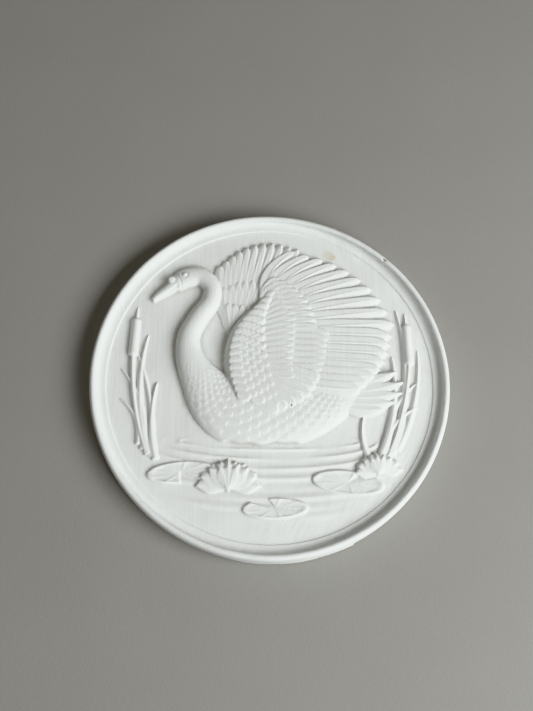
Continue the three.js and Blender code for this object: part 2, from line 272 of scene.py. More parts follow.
def scales(run, across, rows_pitch, column_pitch):
    """Small overlapping feathers that point along run: 0 at the roots and 1 at the tips."""
    best = np.zeros_like(run)
    for back in (0, 1):
        row = np.floor(run / rows_pitch) - back
        s = (run / rows_pitch - row) / 2
        x = across / column_pitch + 0.5 * (row % 2)
        x = (x - np.round(x)) * 2
        edge = np.sqrt(np.clip(1 - np.clip((s - 0.45) / 0.55, 0, 1) ** 2, 0, 1))
        inside = np.abs(x) < edge
        rib = 0.25 * np.exp(-((x / 0.16) ** 2))
        best = np.maximum(best, np.where(inside, s**1.2 * (1 - 0.3 * x * x) + rib * s, 0))
    return best


def oval(u, v, a, b):
    """How far out places are from an oval's middle, as a share, their turn and their distance from its
    edge; a and b are its half axes."""
    q = np.hypot(u / a, v / b)
    slope = np.hypot(u / a**2, v / b**2) / np.maximum(q, 1e-6)
    return q, np.arctan2(v / b, u / a), (q - 1) / np.maximum(slope, 1e-6)


# The carving's parts

BARBS = 0.08  # depth of the slanting lines on each feather


def ripples(carving):
    """Rings of ripples in front of the hull, broken into arcs."""
    centre = (0.0, -53.0)
    first_ring = (74, 7)
    ring_spacing = (14, 8)
    ring_count = 8
    end_radius = 127
    u, v = carving.u - centre[0], carving.v - centre[1]
    near_edge = np.clip((end_radius - np.hypot(carving.u, carving.v)) / 9, 0, 1)
    in_front = np.clip((4 - v) / 8, 0, 1)
    for n in range(ring_count):
        a, b = (first + spacing * n for first, spacing in zip(first_ring, ring_spacing))
        _, turn, distance = oval(u, v, a, b)
        ridge = (1.2 - 0.06 * n) * np.exp(-((distance / (1.3 + 0.25 * n)) ** 2))
        broken = np.clip((0.55 + 0.45 * np.cos(4 * turn + 2.3 * n)) * 1.6, 0, 1)
        carving.lay(np.s_[:, :], ridge * broken * in_front * near_edge)


def reeds(carving):
    """Two clumps of reeds: root, tip, bow, half width and height of each."""
    right = (
        ((97, -66), (124, -2), 10, 3.2, 1.6), ((104, -60), (125, 26), -6, 3.0, 1.4),
        ((99, -64), (108, 62), -10, 3.6, 2.0), ((88, -70), (103, 20), -7, 3.4, 2.5),
        ((92, -72), (122, -24), 9, 3.0, 2.3), ((84, -72), (78, -30), 5, 2.8, 1.8),
    )
    left = (
        ((-104, -60), (-124, 8), -8, 3.0, 1.6), ((-99, -64), (-103, 38), 7, 3.4, 2.0),
        ((-108, -56), (-124, -18), -6, 2.6, 1.5), ((-93, -68), (-94, -4), 4, 3.0, 2.3),
        ((-97, -66), (-114, 28), -6, 3.0, 1.3),
    )
    for root, tip, bow, half_width, height in right + left:
        carving.blade(root, tip, reed_blade(half_width), (height, height * 0.8), bow=bow, crown=0.6,
                      rib=0.35, rib_width=0.6)


def bulrushes(carving):
    """A stem, the round head and the spike over it, twice."""
    spike_length = 13
    for root, foot, top, bow, r in (
            ((95, -68), (117, 16), (116, 46), -4, 4.4),
            ((-101, -62), (-115, 22), (-113.5, 50), 4, 4.2)):
        foot, top = np.array(foot, float), np.array(top, float)
        spike = top + (top - foot) / np.hypot(*(top - foot)) * spike_length
        carving.blade(root, foot, even(1.2), (2.4, 3.0), bow=bow, crown=0.7)
        carving.tube([(*foot, r, 4.8), (*top, r * 0.94, 4.6)], 1)
        carving.tube([(*top, 1.3, 3.4), (*spike, 0.5, 1.6)], 1)


def lily_pads(carving):
    """Flat oval leaves with a curled edge, a notch and veins: centre, half axes, turn and notch."""
    thickness = 1.5
    half_notch = 2.2
    notch_depth = 2.4
    for at, a, b, turn, notch in (
            ((-72, -79), 27, 8.5, 5, 285), ((63, -87), 29, 9.5, -6, 55), ((4, -108), 26, 8, 2, 120)):
        t = math.radians(turn)
        u, v = carving.u - at[0], carving.v - at[1]
        x, y = u * math.cos(t) + v * math.sin(t), v * math.cos(t) - u * math.sin(t)
        q, angle, distance = oval(x, y, a, b)
        curl = (0.7 + 0.25 * np.sin(7 * angle + at[0])) * np.exp(-(((q - 0.95) * b / 1.1) ** 2))
        vein = 0.4 * np.maximum(np.cos(9 * angle), 0) ** 8 * np.clip(q * 3, 0, 1) * (q < 0.95)
        h = thickness + curl + vein - 0.5 * (1 - q) ** 2
        away = angle - math.radians(notch)
        in_notch = (np.abs(np.sin(away)) * q * b < half_notch * q + 0.3) & (np.cos(away) > 0)
        flank = carving.FLANK * np.maximum(distance, 0)
        carving.lay(np.s_[:, :], np.where(in_notch, h - notch_depth, h) - flank)


# Rows of petals from back to front: how many, the spread in degrees, the length as a share of the
# blossom's size, the height, and the half width as a share of the size
PETAL_ROWS = (
    (7, 172, 1.0, 2.2, 0.24), (6, 126, 0.95, 3.2, 0.24), (5, 78, 0.9, 4.2, 0.23), (3, 36, 0.8, 5.2, 0.2))


def blossom(carving, at, size, lean):
    """Water lily with four rows of petals, the front ones higher."""
    for count, spread, reach, lift, share in PETAL_ROWS:
        for i in sorted(range(count), key=lambda n: -abs(n - (count - 1) / 2)):
            angle = math.radians(90 + lean + spread * (i / (count - 1) - 0.5))
            length = size * reach * (1 - 0.12 * abs(math.cos(angle)))
            root = np.array([at[0] + 0.08 * size * math.cos(angle), at[1]])
            tip = root + length * np.array([math.cos(angle), 0.86 * math.sin(angle) + 0.05])
            carving.blade(root, tip, leaf(size * share, 0.55), (lift * 0.75, lift),
                          bow=0.1 * length * math.cos(angle), crown=0.8, rib=0.2, rib_width=0.5)


def part_way(roots, tips, share, lift):
    """Curve of places a share of the way from roots to tips, and raised by lift."""
    return [[r + (t - r) * share + (lift if i == 2 else 0) for i, (r, t) in enumerate(zip(*pair))]
            for pair in zip(roots, tips)]


def far_wing(carving):
    """The far wing, low behind the near one."""
    roots = [(2, 10, 1.2), (-14, 16, 1.3), (-26, 26, 1.4), (-32, 40, 1.4)]
    tips = [(24, 119, 2.6), (2, 124, 2.8), (-22, 119, 2.6), (-44, 102, 2.4)]
    style = {"tilt": -0.75, "crown": 0.5, "rib": 0.5, "barbs": BARBS}
    carving.fan(roots, tips, 11, (9, 3), lambda k: pinion(6.2), **style)
    carving.fan(roots, part_way(roots, tips, 0.66, 0.9), 10, (6, 2), lambda k: plume(5.4, 0.78), **style)
    carving.fan(roots, part_way(roots, tips, 0.42, 1.6), 9, (3, 1), lambda k: plume(4.6, 0.72), **style)


def tail(carving):
    """Pointed tail feathers, the upper ones in front."""
    tips = ((94, -26), (103, -20), (109, -12), (110, -3), (105, 6))
    lowest_root = (58, -22)
    for i, tip in enumerate(tips):
        root = (lowest_root[0] - 0.5 * i, lowest_root[1] + 3.5 * i)
        carving.blade(root, tip, leaf(5.6, 0.5, 0.1), (3 + 0.25 * i, 3.2 + 0.3 * i), bow=-2.5, tilt=0.5,
                      crown=0.5, rib=0.3, barbs=BARBS)


def bird(carving):
    """Hull, neck and head in one flowing form, feathered from the head back, down to the water."""
    water_line = -54
    spine = smooth_rows([
        (-79, 86, 7.6, 7.0), (-71, 91, 9.2, 7.6), (-59, 92, 8.4, 7.4), (-50, 82, 8.2, 7.6),
        (-51, 69, 8.4, 7.8), (-61, 54, 8.8, 8.0), (-69, 36, 9.8, 8.4), (-67, 17, 12.2, 8.8),
        (-57, -2, 17.0, 8.9), (-44, -18, 24.0, 8.8), (-28, -25, 31.0, 8.8), (-6, -27, 32.0, 8.5),
        (20, -26, 29.0, 8.0), (44, -20, 22.0, 6.8), (64, -12, 13.0, 5.2), (78, -6, 6.0, 3.4)], 8)
    window = carving.around(spine)
    share, radius, height, side, run = carving.flow(spine, window)
    form = carving.round_form(share, radius, height)
    feathers = scales(run, side / radius, 0.22, 0.27)
    behind_head = np.clip((run - 1.6) / 2, 0, 1)
    inside_edge = np.clip((0.97 - share) * 8, 0, 1)
    depth = np.clip(radius * 0.03, 0.2, 0.7) * behind_head * inside_edge
    form = form + feathers * depth - 0.5 * depth
    u, v = carving.u[window], carving.v[window]
    water = water_line + 1.0 * np.sin(u / 6.5) + 0.5 * np.sin(u / 2.9 + 1)
    carving.lay(window, np.where(v > water, form, form - 4 * (water - v)))


def head(carving):
    """Beak with its knob and the line of the mouth, and the eye in its ring."""
    beak = [(-78, 87, 6.4, 7.0), (-87, 80, 4.9, 6.2), (-95, 74, 3.7, 5.2), (-99, 70.5, 2.6, 4.2)]
    carving.tube(beak, 6, 2.4)
    knob_place = (-84.6, 87.4)
    knob_radius = 3.2
    knob_foot = 6.4
    under_everything = -9
    knob = np.hypot(carving.u - knob_place[0], carving.v - knob_place[1]) / knob_radius
    dome = knob_foot + 1.2 * np.sqrt(np.maximum(1 - knob**2, 0))
    carving.lay(np.s_[:, :], np.where(knob < 1, dome, under_everything))
    eye_place = (-73.5, 91.8)
    eye_radius = 2.0
    ring_radius = 2.6
    eye = np.hypot(carving.u - eye_place[0], carving.v - eye_place[1])
    carving.heights -= 0.7 * np.exp(-(((eye - ring_radius) / 0.7) ** 2))
    ball = 0.9 * np.sqrt(np.maximum(1 - (eye / eye_radius) ** 2, 0))
    carving.heights += np.where(eye < eye_radius, ball, 0)
    for line, depth in (
            ([(-79, 82.5, 1, 1), (-88, 75.5, 1, 1), (-97, 69.5, 1, 1)], 0.8),
            ([(-83, 94, 1, 1), (-77.5, 88, 1, 1), (-75.5, 80, 1, 1)], 0.6)):
        curve = smooth_rows(line, 6)
        window = carving.around(curve)
        share = carving.flow(curve, window)[0]
        carving.heights[window] -= depth * np.exp(-((share / 0.7) ** 2))


# The wing's arm from the shoulder to the wrist: place, half width and height
ARM = (
    (-21, -18, 10, 9.8), (-27, 3, 9.6, 9.4), (-28, 24, 8.8, 8.8), (-23, 43, 7.4, 8.0), (-13, 57, 5.6, 7.0),
    (-3, 66, 3.6, 5.6))


def near_wing(carving):
    """Flight feathers spread from the wrist and the forearm, three rows of coverts over them, rows
    of small feathers and the rounded arm in front."""
    hand = [(-4, 66, 4.6), (-6, 58, 5.2), (-9, 49, 5.8), (-13, 40, 6.4)]
    hand_tips = [(22, 115, 2.8), (59, 102, 3.2), (88, 79, 3.8), (104, 49, 4.4)]
    forearm = [(-14, 38, 6.6), (-15, 27, 7.2), (-12, 15, 7.7), (-4, 3, 8.0)]
    forearm_tips = [(101, 38, 4.8), (97, 21, 5.4), (89, 5, 6.0), (74, -10, 6.6)]
    style = {"tilt": 0.95, "crown": 0.55, "rib": 0.6, "barbs": BARBS}
    carving.fan(hand, hand_tips, 10, (9, 1), lambda k: pinion(6.6), **style)
    carving.fan(forearm, forearm_tips, 8, (1, -4), lambda k: plume(6.2, 0.84), **style)
    carving.fan(hand, part_way(hand, hand_tips, 0.45, 1.2), 10, (5, 1), lambda k: plume(4.6, 0.8), **style)
    carving.fan(
        forearm, part_way(forearm, forearm_tips, 0.55, 0.8), 9, (1, -3), lambda k: plume(5.4, 0.82), **style)
    whole = [hand[0], hand[2], forearm[0], forearm[2], forearm[3]]
    whole_tips = [hand_tips[0], hand_tips[2], forearm_tips[0], forearm_tips[2], forearm_tips[3]]
    carving.fan(
        whole, part_way(whole, whole_tips, 0.3, 1.4), 16, (3, -1), lambda k: plume(4.4 + 0.6 * k, 0.76),
        **style)
    small_across = 15
    small_rows = 5
    first_turn = -14
    whole_turn = 72
    for row in range(small_rows):
        for i in range(small_across):
            k = (i + 0.5 * (row % 2)) / (small_across - 0.5)
            u, v, _, h = row_at(ARM, k)
            turn = math.radians(first_turn + whole_turn * k)
            outward = np.array([math.cos(turn), math.sin(turn)])
            root = np.array([u, v]) + outward * (17 - 6 * row) * (1 - 0.35 * k)
            carving.blade(root, root + outward * (11.5 - 2 * k), plume(4.3 - 1.2 * k, 0.5),
                          (h - 0.6 + 0.12 * row, h + 0.1 + 0.16 * row), bow=0.8, tilt=0.25, rib=0.15)
    carving.fan(
        [(-9, 20, 8.0), (-14, 4, 8.6), (-20, -12, 9.0)], [(40, -2, 8.4), (30, -18, 8.8), (6, -30, 9.2)],
        7, (-3, -2), lambda k: plume(6.0, 0.74), **style)
    carving.tube([(u - 3, v, r * 0.8, h + 0.3) for u, v, r, h in ARM], 8)
    carving.tube([(u + 16, v - 2, 14, h - 1.4) for u, v, _, h in ARM[:4]], 4)


def carve(step, softness):
    """The whole relief, on its grid."""
    carving = Carving(DRAWN_FIELD_RADIUS + 2, step)
    ripples(carving)
    reeds(carving)
    bulrushes(carving)
    lily_pads(carving)
    far_wing(carving)
    tail(carving)
    bird(carving)
    near_wing(carving)
    blossom(carving, (-34, -93), 27, 0)
    blossom(carving, (88, -80), 20, 6)
    head(carving)
    carving.heights = carving.blurred(np.maximum(carving.heights, 0), softness)
    return carving


# The casting's mesh


def quarter(steps):
    """Turns from 0 to a quarter circle, without the first."""
    return np.linspace(0, np.pi / 2, steps + 1)[1:]


COVE_BEND = 3.0  # 2 makes the cove a quarter of an ellipse, and more bends it later


def rim_rings(size):
    """Radius and height over the back of each ring from the field's edge over the rim to the back."""
    radius = size.diameter / 2 / MM
    crest_radius = radius - size.shoulder_width / MM
    cove_top = crest_radius - size.lip_width / MM
    cove_foot = cove_top - size.cove_width / MM
    field_radius = cove_foot - size.step_width / MM
    field = size.field_thickness / MM
    foot = field + size.step_rise / MM
    lip_foot = foot + size.cove_rise / MM
    crest = lip_foot + size.lip_rise / MM
    round_ = size.back_round / MM
    rings = [(field_radius, field)]
    for t in np.linspace(0, 1, 7)[1:]:
        rise = (foot - field) * t * t * (3 - 2 * t)
        rings.append((field_radius + (cove_foot - field_radius) * t, field + rise))
    for t in quarter(16):
        across, up = math.sin(t) ** (2 / COVE_BEND), 1 - math.cos(t) ** (2 / COVE_BEND)
        rings.append((cove_foot + (cove_top - cove_foot) * across, foot + (lip_foot - foot) * up))
    for t in quarter(7):
        across, up = 1 - math.cos(t), math.sin(t)
        rings.append((cove_top + (crest_radius - cove_top) * across, lip_foot + (crest - lip_foot) * up))
    drop = size.shoulder_drop / MM
    for t in quarter(10):
        rings.append((crest_radius + (radius - crest_radius) * math.sin(t), crest - drop * (1 - math.cos(t))))
    for h in np.linspace(crest - drop, round_, 9)[1:]:
        rings.append((radius, h))
    for t in quarter(4):
        rings.append((radius - round_ * (1 - math.cos(t)), round_ * (1 - math.sin(t))))
    for share in (0.96, 0.66, 0.33):
        rings.append((radius * share, 0.0))
    return field_radius, rings


def disc_grid(cells):
    """Points of a square grid of cells drawn out to a round disc of radius 1, their numbers, and the
    edge's points in turn."""
    a = np.linspace(-1, 1, cells + 1)
    x, y = np.meshgrid(a, a)
    wide = np.abs(x) >= np.abs(y)
    safe_x, safe_y = np.where(x == 0, 1, x), np.where(y == 0, 1, y)
    turn = np.where(wide, np.pi / 4 * y / safe_x, np.pi / 2 - np.pi / 4 * x / safe_y)
    reach = np.where(wide, x, y)
    n = np.arange((cells + 1) ** 2).reshape(cells + 1, cells + 1)
    edge = np.concatenate([n[:-1, -1], n[-1, :0:-1], n[:0:-1, 0], n[0, :-1]])
    return reach * np.cos(turn), reach * np.sin(turn), n, edge


def uneven(points, scale, depth, rng):
    """Gentle unevenness over a row of plan points, made of a few waves at random slants."""
    waves = 9
    out = 0
    for _ in range(waves):
        slant = rng.uniform(0, 2 * np.pi)
        wave = 2 * np.pi / (scale * rng.uniform(0.7, 1.6))
        along = points[0] * math.cos(slant) + points[1] * math.sin(slant)
        out = out + np.sin(wave * along + rng.uniform(0, 6.28))
    return depth * out / math.sqrt(waves)


# Marks on the rim: turn, spread, start, grown and end in degrees from the right towards the top, the
# rest in millimetres. The slack side is where the outline falls short of a circle, and the flash is
# the thin edge of plaster left at the foot of the outer wall, which ends in a step.
CHIP = {"turn": 47.2, "radius": 146.4, "length": 4.2, "width": 1.9, "depth": 1.0}
COVE_PIT = {"turn": -68.9, "radius": 140.8, "length": 1.7, "width": 1.7, "depth": 0.45}
SLACK = {"turn": 72.0, "spread": 30.0, "in": 0.9}
FLASH = {"start": -104.0, "grown": -94.0, "end": -63.8, "out": 1.1, "height": 2.6}


def dent(mark, radius, turn):
    """Depth of a chip or pit at places given by radius and turn."""
    along = (np.degrees(turn) - mark["turn"]) * math.pi / 180 * mark["radius"] / (mark["length"] / 2)
    across = (radius - mark["radius"]) / (mark["width"] / 2)
    ragged = 1 + 0.25 * np.sin(5 * along + 3 * across)
    return mark["depth"] * np.sqrt(np.clip(1 - (along**2 + across**2) * ragged, 0, 1))


def worn_ring(radius, height, turn, size):
    """Radius and height round a ring of the rim: a slight wobble, the slack side where the circle falls
    short, the chip, the pit and the flash."""
    crest = (size.field_thickness + size.step_rise + size.cove_rise + size.lip_rise) / MM
    full_radius = size.diameter / 2 / MM
    inside = radius < full_radius - size.shoulder_width / MM
    outermost = radius > full_radius - 2
    wall_foot = 2
    flash_step = 0.7
    low = size.field_thickness / MM if inside else wall_foot
    raised = min(max((height - low) / (crest - low), 0), 1)
    wobble = 0.10 * np.sin(3 * turn + 1.0) + 0.06 * np.sin(8 * turn + 2.1) + 0.035 * np.sin(19 * turn)
    swell = 0.11 * np.sin(4 * turn + 0.4) + 0.05 * np.sin(11 * turn + 1.3) + 0.03 * np.sin(27 * turn)
    degrees = np.degrees(turn)
    grown = np.clip((degrees - FLASH["start"]) / (FLASH["grown"] - FLASH["start"]), 0, 1)
    ended = np.clip((FLASH["end"] - degrees) / flash_step + 1, 0, 1)
    flash = grown * ended * (1 + 0.2 * np.sin(21 * turn))
    at_base = max(1 - height / FLASH["height"], 0) ** 0.7 if outermost else 0
    slack = SLACK["in"] * np.exp(-(((degrees - SLACK["turn"]) / SLACK["spread"]) ** 2))
    out = radius + (wobble - slack) * raised + FLASH["out"] * flash * at_base
    if height > size.field_thickness / MM:
        height = height + swell * raised - dent(CHIP, radius, turn) - dent(COVE_PIT, radius, turn)
    return out, height + 0 * turn


def faced_mesh(name, places, quads, triangles):
    """Mesh with faces of four and of three corners, from rows of places and of their numbers."""
    mesh = bpy.data.meshes.new(name)
    mesh.vertices.add(len(places))
    mesh.vertices.foreach_set("co", places.ravel())
    mesh.loops.add(quads.size + triangles.size)
    mesh.loops.foreach_set("vertex_index", np.concatenate([quads.ravel(), triangles.ravel()]))
    mesh.polygons.add(len(quads) + len(triangles))
    starts = np.concatenate([np.arange(len(quads)) * 4, quads.size + np.arange(len(triangles)) * 3])
    mesh.polygons.foreach_set("loop_start", starts)
    mesh.update(calc_edges=True)
    mesh.validate()
    return mesh


def casting_mesh(size, detail):
    """Closed mesh of the casting: the carved field, the rim and the back. The carving that it shows and
    the scale that it is shown at come with it."""
    rng = np.random.default_rng(SEED)
    field_radius, rings = rim_rings(size)
    scale = field_radius / DRAWN_FIELD_RADIUS
    carving = carve(detail.grid_step / MM, detail.softness / MM)
    cells = int(round(math.sqrt(math.pi) * field_radius / (detail.mesh_step / MM) / 4) * 4)
    x, y, n, edge = disc_grid(cells)
    u, v = x.ravel() * field_radius, y.ravel() * field_radius
    relief = carving.sample(carving.heights, u / scale, v / scale)
    from_edge = field_radius - np.hypot(u, v)
    relief = relief * np.clip((from_edge - BARE_EDGE) / 2, 0, 1)
    depth = size.relief_depth / (DRAWN_DEPTH * MM)
    calm = np.clip(from_edge / 6, 0, 1)
    height = rings[0][1] + relief * depth + calm * (
        uneven((u, v), 46, 0.10, rng) + uneven((u, v), 13, 0.035, rng))
    places = [np.stack([u, -height, v], 1)]
    quads = [np.stack([n[:-1, :-1], n[:-1, 1:], n[1:, 1:], n[1:, :-1]], -1).reshape(-1, 4)]
    turn = np.arctan2(v[edge], u[edge])
    inner = edge
    count = n.size
    for r, h in rings[1:]:
        outer = count + np.arange(len(edge))
        count += len(edge)
        r, h = worn_ring(r, h, turn, size)
        places.append(np.stack([r * np.cos(turn), -h, r * np.sin(turn)], 1))
        quads.append(np.stack([inner, outer, np.roll(outer, -1), np.roll(inner, -1)], 1))
        inner = outer
    places.append(np.zeros((1, 3)))
    fan = np.stack([inner, np.full(len(inner), count), np.roll(inner, -1)], 1)
    mesh = faced_mesh("plaster_casting", np.concatenate(places) * MM, np.concatenate(quads), fan)
    return mesh, carving, scale


# Settings that a user can change, each with its name, its description and its default


def length_setting(name, description, metres, **more):
    """A size or distance."""
    return FloatProperty(name=name, description=description, default=metres, unit="LENGTH", **more)


def angle_setting(name, description, degrees):
    """A turn, which is kept in radians."""
    return FloatProperty(
        name=name, description=description, default=math.radians(degrees), subtype="ANGLE")


def power_setting(name, description, watts):
    """A light's power."""
    return FloatProperty(name=name, description=description, default=watts, unit="POWER")


def colour_setting(name, description, colour):
    """A colour."""
    return FloatVectorProperty(
        name=name, description=description, default=colour, subtype="COLOR", size=4, min=0, max=1)


class PlaqueSizes(bpy.types.PropertyGroup):
    """Sizes of the casting."""
    diameter: length_setting("Diameter", "Across the whole plaque", PLAQUE_HIGH[0] - PLAQUE_LOW[0])
    field_thickness: length_setting("Field Thickness", "From the back to the bare field", 0.0098)
    step_width: length_setting("Step Width", "Of the small step round the field", 0.0012)
    step_rise: length_setting("Step Rise", "Of the small step round the field", 0.0008)
    cove_width: length_setting("Cove Width", "Of the hollow inside the rim", 0.0074)
    cove_rise: length_setting("Cove Rise", "Of the hollow inside the rim", 0.0049)
    lip_width: length_setting("Lip Width", "Between the hollow and the crest", 0.0024)
    lip_rise: length_setting("Lip Rise", "Between the hollow and the crest", 0.0018)
    shoulder_width: length_setting("Shoulder Width", "From the crest out to the outer wall", 0.003)
    shoulder_drop: length_setting("Shoulder Drop", "From the crest down to the outer wall", 0.0048)
    back_round: length_setting("Back Rounding", "Of the edge round the back", 0.0015)
    relief_depth: length_setting("Relief Depth", "Of the carving at its highest", 0.01)


class CastingDetail(bpy.types.PropertyGroup):
    """Fineness of the carving."""
    grid_step: length_setting(
        "Carving Grid", "Between the points that the carving is worked out at", 0.0004, precision=5)
    mesh_step: length_setting(
        "Mesh Step", "Between the mesh's points before it is thinned", 0.00045, precision=5)
    softness: length_setting(
        "Softness", "How far the mould and the paint soften an edge", 0.00035, precision=5)
    triangles: IntProperty(
        name="Triangles", description="Kept in the thinned mesh", default=190000)


# Shader maths


class Term:
    """A node's output in a formula: arithmetic on it adds Math nodes."""

    def __init__(self, finish, node, socket):
        self.finish, self.node, self.socket = finish, node, socket

    def out(self, name):
        """Another output of the same node."""
        return Term(self.finish, self.node, self.node.outputs[name])

    def math(self, operation, a, b):
        return self.finish.node("ShaderNodeMath", {"operation": operation}, {0: a, 1: b})

    def __add__(self, other):
        return self.math("ADD", self, other)

    def __sub__(self, other):
        return self.math("SUBTRACT", self, other)

    def __rsub__(self, other):
        return self.math("SUBTRACT", other, self)

    def __mul__(self, other):
        return self.math("MULTIPLY", self, other)

    def __truediv__(self, other):
        return self.math("DIVIDE", self, other)

    __radd__ = __add__
    __rmul__ = __mul__

    def larger(self, other):
        return self.math("MAXIMUM", self, other)


class Finish:
    """A material whose nodes are written as formulas."""

    def __init__(self, name):
        self.material = bpy.data.materials.new(name)
        self.material.use_nodes = True
        self.tree = self.material.node_tree
        self.tree.nodes.clear()

    def node(self, kind, settings=None, values=None, output=0):
        """Adds a node: its settings first, then the values or links of its sockets."""
        made = self.tree.nodes.new(kind)
        for key, value in (settings or {}).items():
            setattr(made, key, value)
        for key, value in (values or {}).items():
            if isinstance(value, Term):
                self.tree.links.new(value.socket, made.inputs[key])
            else:
                made.inputs[key].default_value = value
        return Term(self, made, made.outputs[output]) if len(made.outputs) else made

    def place(self):
        """Place on the object, in metres."""
        return self.node("ShaderNodeTexCoord", output="Object")

    def noise(self, place, size, detail=2.0, roughness=0.5):
        """Noise whose blotches are size across: one number, or one for each axis."""
        sizes = (size,) * 3 if isinstance(size, float) else size
        stretched = self.node(
            "ShaderNodeVectorMath", {"operation": "MULTIPLY"}, {0: place, 1: tuple(1 / s for s in sizes)})
        return self.node(
            "ShaderNodeTexNoise", None,
            {"Vector": stretched, "Scale": 1.0, "Detail": detail, "Roughness": roughness})

    def ramp(self, value, low, high):
        """0 where value is under low and 1 where it is over high."""
        kind = {"interpolation_type": "SMOOTHSTEP"}
        return self.node("ShaderNodeMapRange", kind, {"Value": value, "From Min": low, "From Max": high})

    def away(self, x, z, mark):
        """How far off a mark's centre a place is, squared: 1 on its edge."""
        u, v, half_length, half_width, turn = mark
        c, s = math.cos(math.radians(turn)), math.sin(math.radians(turn))
        u_away, v_away = x - u * MM, z - v * MM
        along = (u_away * c + v_away * s) / (half_length * MM)
        across = (v_away * c - u_away * s) / (half_width * MM)
        return along * along + across * across

    def mixed(self, share, a, b):
        """Colour a where share is 0 and b where it is 1."""
        # the colour sockets share their names with others, so they are given by number
        colour = {"data_type": "RGBA", "clamp_factor": True}
        return self.node("ShaderNodeMix", colour, {0: share, 6: a, 7: b}, output=2)

    def surface(self, colour, roughness, height, bump_distance, specular=0.5):
        """Ends the material in one shader."""
        bump = self.node(
            "ShaderNodeBump", None, {"Height": height, "Distance": bump_distance, "Strength": 1.0})
        shader = self.node("ShaderNodeBsdfPrincipled", None, {
            "Base Color": colour, "Roughness": roughness, "Normal": bump, "Specular IOR Level": specular})
        self.node("ShaderNodeOutputMaterial", None, {"Surface": shader})
        return self.material


class PlasterFinish(bpy.types.PropertyGroup):
    """Colours of the paint, the plaster and the marks."""
    paint: colour_setting("Paint", "White paint over the front and the outer wall", (0.86, 0.88, 0.872, 1))
    # The paint darkens towards this colour with grime, and with painted shade in the hollows
    dust_and_painted_shade: colour_setting("Dust", "Grime in the hollows", (0.46, 0.445, 0.41, 1))
    raw: colour_setting("Raw Plaster", "Bare plaster of the back", (0.74, 0.72, 0.67, 1))
    stain: colour_setting("Stain", "Old water mark by the upper rim", (0.66, 0.60, 0.44, 1))
    dirt: colour_setting("Dirt", "Dark grime in the chip and the pinhole", (0.12, 0.11, 0.09, 1))


# Marks in the paint: centre, half length, half width and the length's turn from the right, in
# millimetres and degrees
STAIN = (51.8, 113.7, 6.2, 4.2, -20)
STAIN_CORE = (55.2, 112.0, 2.9, 2.7, 0)
CHIP_DIRT = (99.5, 107.4, 2.3, 0.6, 137.2)
SPECK = (17.4, -24.6, 0.75, 0.75, 0)
ROUGH_PATCH = (70.0, 119.0, 13.0, 8.0, 127)

# The brush strokes lean towards the lower right, more and more between these two places: metres to
# the right and metres down from the middle, added up
SLANT = math.radians(-28)
SLANT_FROM, SLANT_FULL = 0.06, 0.14

# The paint on the outer wall gives way to bare plaster between these heights over the back, in metres
PAINT_THINS, PAINT_ENDS = 0.0035, 0.0008


def plaster_finish(colours):
    """Brushed white paint over cast plaster, bare and pitted on the back."""
    f = Finish("brushed_white_plaster")
    place = f.place()
    axes = f.node("ShaderNodeSeparateXYZ", None, {0: place})
    x, y, z = axes, axes.out("Y"), axes.out("Z")
    recess = f.node("ShaderNodeAttribute", {"attribute_name": "recess"}, output="Fac")
    turned = f.node("ShaderNodeVectorRotate", {"rotation_type": "Y_AXIS"}, {"Vector": place, "Angle": SLANT})
    slanting = f.ramp(x - z, SLANT_FROM, SLANT_FULL)
    upright_streaks = f.noise(place, (0.0013, 0.0013, 0.045), 3.0, 0.55)
    slanting_streaks = f.noise(turned, (0.0015, 0.0015, 0.03), 3.0, 0.55)
    streaks = upright_streaks * (1 - slanting) + slanting_streaks * slanting
    wide_streaks = f.noise(place, (0.006, 0.006, 0.12), 2.0)
    grain = f.noise(place, 0.0007, 3.0, 0.6)
    mottle = f.noise(place, 0.035, 3.0, 0.55)
    bare = f.ramp(y, -PAINT_THINS, -PAINT_ENDS)
    wander = f.noise(place, 0.003, 2.0)
    stain_edge = (wander - 0.5) * 1.6
    stained = (1 - f.ramp(f.away(x, z, STAIN) + stain_edge, 0.3, 1.4)) * 0.42
    stained = (stained + (1 - f.ramp(f.away(x, z, STAIN_CORE) + stain_edge, 0.2, 1.4)) * 0.3) * (1 - bare)
    chipped = 1 - f.ramp(f.away(x, z, CHIP_DIRT) + (wander - 0.5) * 0.8, 0.5, 1.1)
    speck = 1 - f.ramp(f.away(x, z, SPECK), 0.5, 1.3)
    rough = (1 - f.ramp(f.away(x, z, ROUGH_PATCH), 0.3, 1.2)) * f.noise(place, 0.0016, 2.0)
    # Darker in the hollows by how deep they lie: painted shade, with some grime; the mottle and the brush
    # streaks are the paint's own uneven tone
    grime_and_painted_shade = (mottle - 0.5) * 0.35 + (streaks - 0.47) * 0.42 + recess * 0.75
    colour = f.mixed(grime_and_painted_shade, tuple(colours.paint), tuple(colours.dust_and_painted_shade))
    colour = f.mixed(stained, colour, tuple(colours.stain))
    colour = f.mixed((chipped * 0.75).larger(speck * 0.9) * (1 - bare), colour, tuple(colours.dirt))
    bare_colour = f.mixed(mottle, tuple(colours.raw), tuple(c * 0.86 for c in colours.raw[:3]) + (1,))
    colour = f.mixed(bare, colour, bare_colour)
    pits = f.node(
        "ShaderNodeTexVoronoi", None, {"Vector": place, "Scale": 160.0, "Randomness": 1.0}, output="Distance")
    pitted = (1 - f.ramp(pits, 0.10, 0.24)) * bare
    height = streaks * 0.17 + wide_streaks * 0.16 + grain * 0.06 + rough * 0.5
    height = height - speck * 0.4 - pitted * 0.5 + bare * grain * 0.15
    roughness = 0.62 + (streaks - 0.5) * 0.2 + recess * 0.15 + bare * 0.2
    return f.surface(colour, roughness, height, MM, 0.4)


